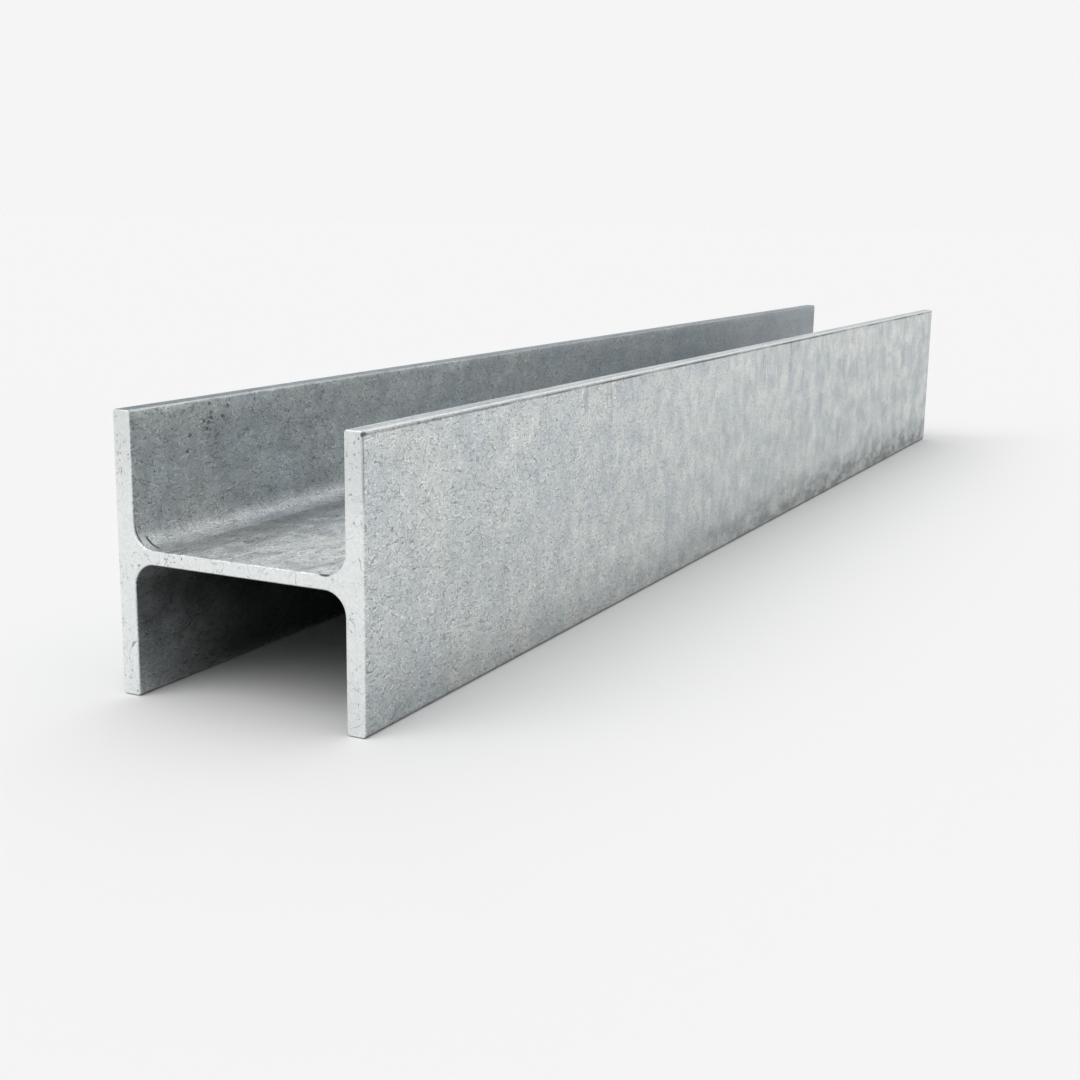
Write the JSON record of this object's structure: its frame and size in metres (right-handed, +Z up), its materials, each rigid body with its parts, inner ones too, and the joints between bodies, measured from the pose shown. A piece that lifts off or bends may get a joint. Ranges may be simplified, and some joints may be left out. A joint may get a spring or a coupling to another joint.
{
  "type": "steel i-beam",
  "caption": "Galvanised wide-flange steel beam of I section, lying on its flange toes with the web level, sawn square to length for use as a post, lintel or bearer.",
  "frame": {"origin": "on the floor under the middle of the beam, as it lies on its flange toes", "axes": "+X along the beam, +Y across the web from the front flange to the back flange, +Z up, along the width of the flanges"},
  "size_m": [1, 0.125, 0.125],
  "materials": {
    "galvanised_steel": "hot-dip galvanised, dull mottled zinc grey with fine grain and pale vertical run marks"
  },
  "bodies": {
    "root": {"i_beam": "galvanised_steel"}
  },
  "joints": []
}
